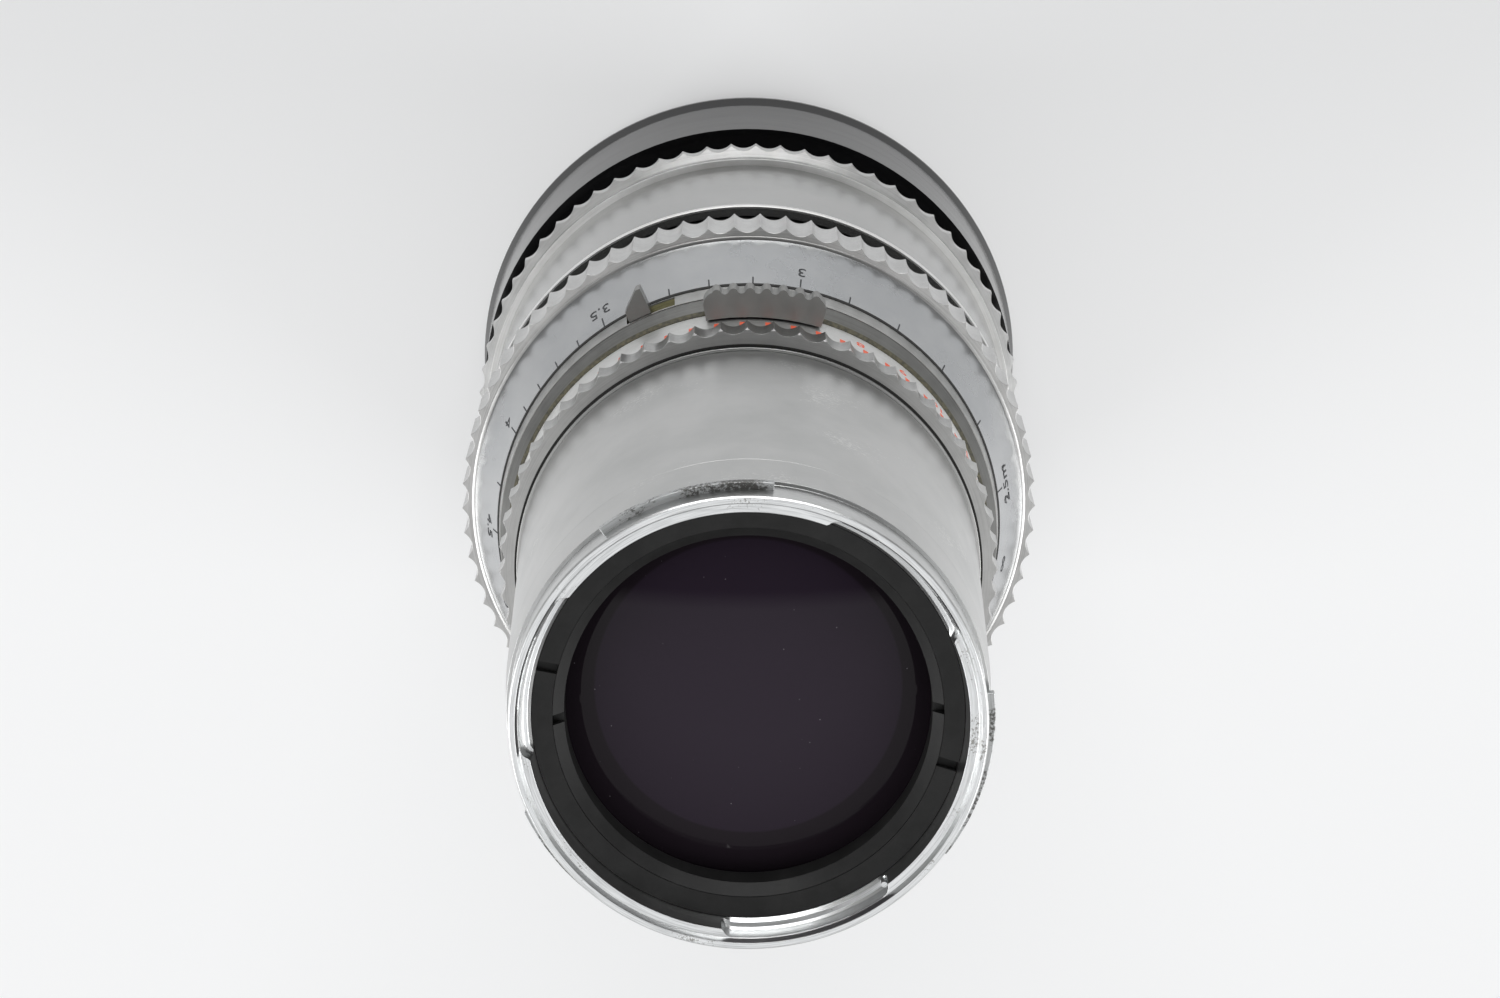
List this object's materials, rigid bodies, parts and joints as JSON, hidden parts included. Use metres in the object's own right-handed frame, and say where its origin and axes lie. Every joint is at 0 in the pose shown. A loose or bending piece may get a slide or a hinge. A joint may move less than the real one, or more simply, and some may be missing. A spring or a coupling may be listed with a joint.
{
  "type": "camera lens",
  "caption": "Long medium format telephoto lens with leaf shutter, scalloped rings, conical distance scale, bayonet front and black rear cap.",
  "frame": {"origin": "middle of the flat base of the rear cap, on which the lens stands", "axes": "+Z along the optical axis to the front; -Y towards the interlock tab; +X completes a right-handed frame"},
  "size_m": [0.0844, 0.0844, 0.172],
  "materials": {
    "black_plastic": "gloss",
    "black_paint": "satin",
    "satin_chrome": "satin",
    "bright_chrome": "polished",
    "aluminium": "turned",
    "brass": "turned",
    "steel": "ground",
    "blade_steel": "blackened",
    "glass": "polished"
  },
  "bodies": {
    "barrel": {"rear_barrel": "black_paint", "barrel_band": "satin_chrome", "rear_grip_ring": "satin_chrome", "guide_tube": "black_paint", "guide_key_1": "brass", "guide_key_2": "brass", "mount_plate": "black_paint", "rear_baffle": "black_paint"},
    "cap": {"rear_cap": "black_plastic"},
    "cocking": {"cocking_shaft": "steel"},
    "carriage": {"carriage_sleeve": "aluminium", "shutter_housing": "black_paint", "index_ring": "satin_chrome", "flash_terminal": "bright_chrome", "diaphragm_plate": "brass", "shutter_plate": "brass", "shutter_cover": "black_paint", "front_tube": "satin_chrome", "front_bayonet_ring": "bright_chrome", "filter_stop_pin": "bright_chrome", "front_retaining_ring": "black_paint", "front_glass_ring": "black_paint", "front_cell": "black_paint", "front_element": "glass", "doublet_crown": "glass", "doublet_flint": "glass", "doublet_retaining_ring": "black_paint", "stray_light_tube": "black_paint", "rear_cell": "black_paint", "rear_element": "glass", "rear_retaining_ring": "black_paint"},
    "focus": {"focus_sleeve": "aluminium", "focus_grip_ring": "satin_chrome", "scale_cone_ring": "satin_chrome"},
    "speed": {"speed_ring": "satin_chrome"},
    "aperture": {"aperture_ring": "satin_chrome"},
    "tab": {"interlock_tab": "satin_chrome"},
    "preview": {"preview_lever": "satin_chrome"},
    "sync": {"sync_lever": "satin_chrome"},
    "shutter_blade_1": {"shutter_blade_1": "blade_steel"},
    "shutter_blade_2": {"shutter_blade_2": "blade_steel"},
    "shutter_blade_3": {"shutter_blade_3": "blade_steel"},
    "shutter_blade_4": {"shutter_blade_4": "blade_steel"},
    "shutter_blade_5": {"shutter_blade_5": "blade_steel"},
    "diaphragm_blade_1": {"diaphragm_blade_1": "blade_steel"},
    "diaphragm_blade_2": {"diaphragm_blade_2": "blade_steel"},
    "diaphragm_blade_3": {"diaphragm_blade_3": "blade_steel"},
    "diaphragm_blade_4": {"diaphragm_blade_4": "blade_steel"},
    "diaphragm_blade_5": {"diaphragm_blade_5": "blade_steel"}
  },
  "joints": [
    {"name": "focus_slide", "type": "slide", "parent": "barrel", "child": "carriage", "axis": [0, 0, 1], "range_m": [-0.0074, 0.0243]},
    {"name": "focus_turn", "type": "hinge", "parent": "carriage", "child": "focus", "pos_m": [0, 0, 0.08], "axis": [0, 0, 1], "range_deg": [-80.02, 261.64]},
    {"name": "speed_turn", "type": "hinge", "parent": "carriage", "child": "speed", "pos_m": [0, 0, 0.107], "axis": [0, 0, 1], "range_deg": [-72, 72]},
    {"name": "aperture_turn", "type": "hinge", "parent": "carriage", "child": "aperture", "pos_m": [0, 0, 0.1], "axis": [0, 0, 1], "range_deg": [-87, 0]},
    {"name": "tab_press", "type": "slide", "parent": "aperture", "child": "tab", "axis": [0, 0, -1], "range_m": [0, 0.0006], "stiffness_N_per_m": 2000, "springref_m": -0.0004},
    {"name": "preview_turn", "type": "hinge", "parent": "carriage", "child": "preview", "pos_m": [0, 0, 0.0968], "axis": [0, 0, 1], "range_deg": [-5.2, 0]},
    {"name": "sync_turn", "type": "hinge", "parent": "carriage", "child": "sync", "pos_m": [0, 0, 0.0968], "axis": [0, 0, 1], "range_deg": [-8, 8]},
    {"name": "cocking_turn", "type": "hinge", "parent": "barrel", "child": "cocking", "pos_m": [0, 0.0249, 0.02], "axis": [0, 0, 1], "range_deg": [0, 280]},
    {"name": "cap_slide", "type": "slide", "parent": "barrel", "child": "cap", "axis": [0, 0, -1], "range_m": [0, 0.03]},
    {"name": "shutter_blade_1_turn", "type": "hinge", "parent": "carriage", "child": "shutter_blade_1", "pos_m": [0.026, 0, 0.1], "axis": [0, 0, 1], "range_deg": [0, 28.5]},
    {"name": "shutter_blade_2_turn", "type": "hinge", "parent": "carriage", "child": "shutter_blade_2", "pos_m": [0.00803, 0.02473, 0.1], "axis": [0, 0, 1], "range_deg": [0, 28.5]},
    {"name": "shutter_blade_3_turn", "type": "hinge", "parent": "carriage", "child": "shutter_blade_3", "pos_m": [-0.02103, 0.01528, 0.1], "axis": [0, 0, 1], "range_deg": [0, 28.5]},
    {"name": "shutter_blade_4_turn", "type": "hinge", "parent": "carriage", "child": "shutter_blade_4", "pos_m": [-0.02103, -0.01528, 0.1], "axis": [0, 0, 1], "range_deg": [0, 28.5]},
    {"name": "shutter_blade_5_turn", "type": "hinge", "parent": "carriage", "child": "shutter_blade_5", "pos_m": [0.00803, -0.02473, 0.1], "axis": [0, 0, 1], "range_deg": [0, 28.5]},
    {"name": "diaphragm_blade_1_turn", "type": "hinge", "parent": "carriage", "child": "diaphragm_blade_1", "pos_m": [0.026, 0, 0.1], "axis": [0, 0, 1], "range_deg": [0, 24]},
    {"name": "diaphragm_blade_2_turn", "type": "hinge", "parent": "carriage", "child": "diaphragm_blade_2", "pos_m": [0.00803, 0.02473, 0.1], "axis": [0, 0, 1], "range_deg": [0, 24]},
    {"name": "diaphragm_blade_3_turn", "type": "hinge", "parent": "carriage", "child": "diaphragm_blade_3", "pos_m": [-0.02103, 0.01528, 0.1], "axis": [0, 0, 1], "range_deg": [0, 24]},
    {"name": "diaphragm_blade_4_turn", "type": "hinge", "parent": "carriage", "child": "diaphragm_blade_4", "pos_m": [-0.02103, -0.01528, 0.1], "axis": [0, 0, 1], "range_deg": [0, 24]},
    {"name": "diaphragm_blade_5_turn", "type": "hinge", "parent": "carriage", "child": "diaphragm_blade_5", "pos_m": [0.00803, -0.02473, 0.1], "axis": [0, 0, 1], "range_deg": [0, 24]}
  ],
  "couplings": [
    {"joint": "focus_turn", "follows": "focus_slide", "rad_per_m": 187.56},
    {"joint": "shutter_blade_2_turn", "follows": "shutter_blade_1_turn", "ratio": 1},
    {"joint": "shutter_blade_3_turn", "follows": "shutter_blade_1_turn", "ratio": 1},
    {"joint": "shutter_blade_4_turn", "follows": "shutter_blade_1_turn", "ratio": 1},
    {"joint": "shutter_blade_5_turn", "follows": "shutter_blade_1_turn", "ratio": 1},
    {"joint": "diaphragm_blade_1_turn", "follows": "preview_turn", "ratio": -4.615},
    {"joint": "diaphragm_blade_2_turn", "follows": "preview_turn", "ratio": -4.615},
    {"joint": "diaphragm_blade_3_turn", "follows": "preview_turn", "ratio": -4.615},
    {"joint": "diaphragm_blade_4_turn", "follows": "preview_turn", "ratio": -4.615},
    {"joint": "diaphragm_blade_5_turn", "follows": "preview_turn", "ratio": -4.615}
  ]
}
